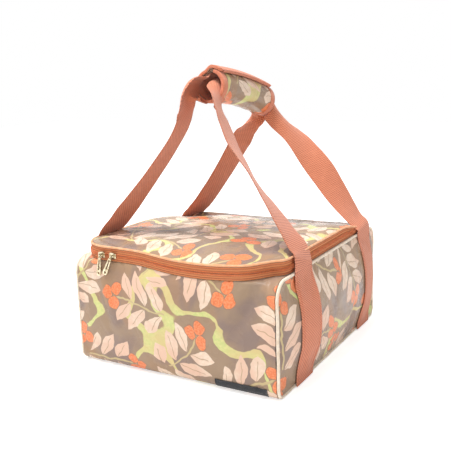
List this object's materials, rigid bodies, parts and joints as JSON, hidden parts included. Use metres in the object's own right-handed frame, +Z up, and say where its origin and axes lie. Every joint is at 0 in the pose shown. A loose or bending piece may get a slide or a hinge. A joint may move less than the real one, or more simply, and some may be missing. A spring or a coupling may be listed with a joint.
{
  "type": "insulated cooler bag",
  "caption": "Square insulated cooler bag with a zipped lid, padded walls and two webbing loops joined by a padded carrying grip.",
  "frame": {"origin": "on the floor, under the middle of the bag's bounding box", "axes": "+Z up; -Y is the front, where the zip's sliders meet; +X is the bag's right side"},
  "size_m": [0.3312, 0.356, 0.3911],
  "materials": {
    "print": "woven, printed",
    "cream": "woven piping",
    "webbing": "ribbed webbing",
    "zip": "woven tape",
    "foam": "closed-cell foam",
    "liner": "wipe-clean film",
    "board": "smooth",
    "metal": "antique plating",
    "tab": "woven"
  },
  "bodies": {
    "bag": {"front_panel": "print", "back_panel": "print", "base_panel": "print", "left_panel": "print", "right_panel": "print", "piping_left": "cream", "piping_right": "cream", "foam_front": "foam", "foam_back": "foam", "foam_left": "foam", "foam_right": "foam", "foam_base": "foam", "base_board": "board", "liner_tub": "liner", "mouth_binding": "cream", "zip_tape_lower": "zip", "zip_coil_lower": "zip", "zip_stop_left": "zip", "zip_stop_right": "zip", "strap_left_front": "webbing", "strap_left_rear": "webbing", "strap_right_front": "webbing", "strap_right_rear": "webbing", "label_tab": "tab"},
    "lid": {"lid_cover": "print", "lid_foam": "foam", "lid_lining": "liner", "lid_piping": "cream", "lid_hinge_strip": "print", "zip_tape_upper": "zip", "zip_coil_upper": "zip"},
    "slider_front": {"slider_front": "metal"},
    "pull_front": {"pull_front": "metal"},
    "slider_left": {"slider_left": "metal"},
    "pull_left": {"pull_left": "metal"},
    "right_loop": {"loop_right": "webbing", "grip_pad": "print", "grip_pad_binding": "zip", "grip_loop_tape": "webbing"},
    "left_loop": {"loop_left": "webbing"},
    "flap": {"grip_flap": "print", "grip_flap_binding": "zip", "grip_hook_tape": "webbing"}
  },
  "joints": [
    {"name": "lid_open", "type": "hinge", "parent": "bag", "child": "lid", "pos_m": [0, 0.1469, 0.1463], "axis": [-1, 0, 0], "range_deg": [0, 85], "deforming": ["lid_hinge_strip"]},
    {"name": "right_loop_fold", "type": "hinge", "parent": "bag", "child": "right_loop", "pos_m": [0.1539, 0, 0.1461], "axis": [0, 1, 0], "range_deg": [0, 150]},
    {"name": "left_loop_fold", "type": "hinge", "parent": "bag", "child": "left_loop", "pos_m": [-0.1539, 0, 0.1461], "axis": [0, -1, 0], "range_deg": [0, 150]},
    {"name": "flap_open", "type": "hinge", "parent": "right_loop", "child": "flap", "pos_m": [0, 0.01658, 0.3326], "axis": [0, -0.9848, 0.1736], "range_deg": [0, 130], "deforming": ["grip_flap", "grip_flap_binding", "grip_hook_tape"]},
    {"name": "slider_front_slide", "type": "slide", "parent": "bag", "child": "slider_front", "axis": [1, 0, 0], "range_m": [0, 0.183]},
    {"name": "pull_front_swing", "type": "hinge", "parent": "slider_front", "child": "pull_front", "pos_m": [-0.084, -0.17475, 0.1545], "axis": [-1, 0, 0], "range_deg": [0, 150]},
    {"name": "slider_left_slide", "type": "hinge", "parent": "bag", "child": "slider_left", "pos_m": [-0.0997, -0.1198, 0.1545], "axis": [0, 0, -1], "range_deg": [0, 68]},
    {"name": "pull_left_swing", "type": "hinge", "parent": "slider_left", "child": "pull_left", "pos_m": [-0.10258, -0.17467, 0.1545], "axis": [-0.9986, 0.0523, 0], "range_deg": [0, 90]}
  ],
  "couplings": [
    {"joint": "right_loop_fold", "follows": "lid_open", "ratio": 1.75},
    {"joint": "left_loop_fold", "follows": "lid_open", "ratio": 1.75},
    {"joint": "flap_open", "follows": "lid_open", "ratio": 1.5},
    {"joint": "pull_left_swing", "follows": "slider_left_slide", "ratio": 1.2}
  ]
}
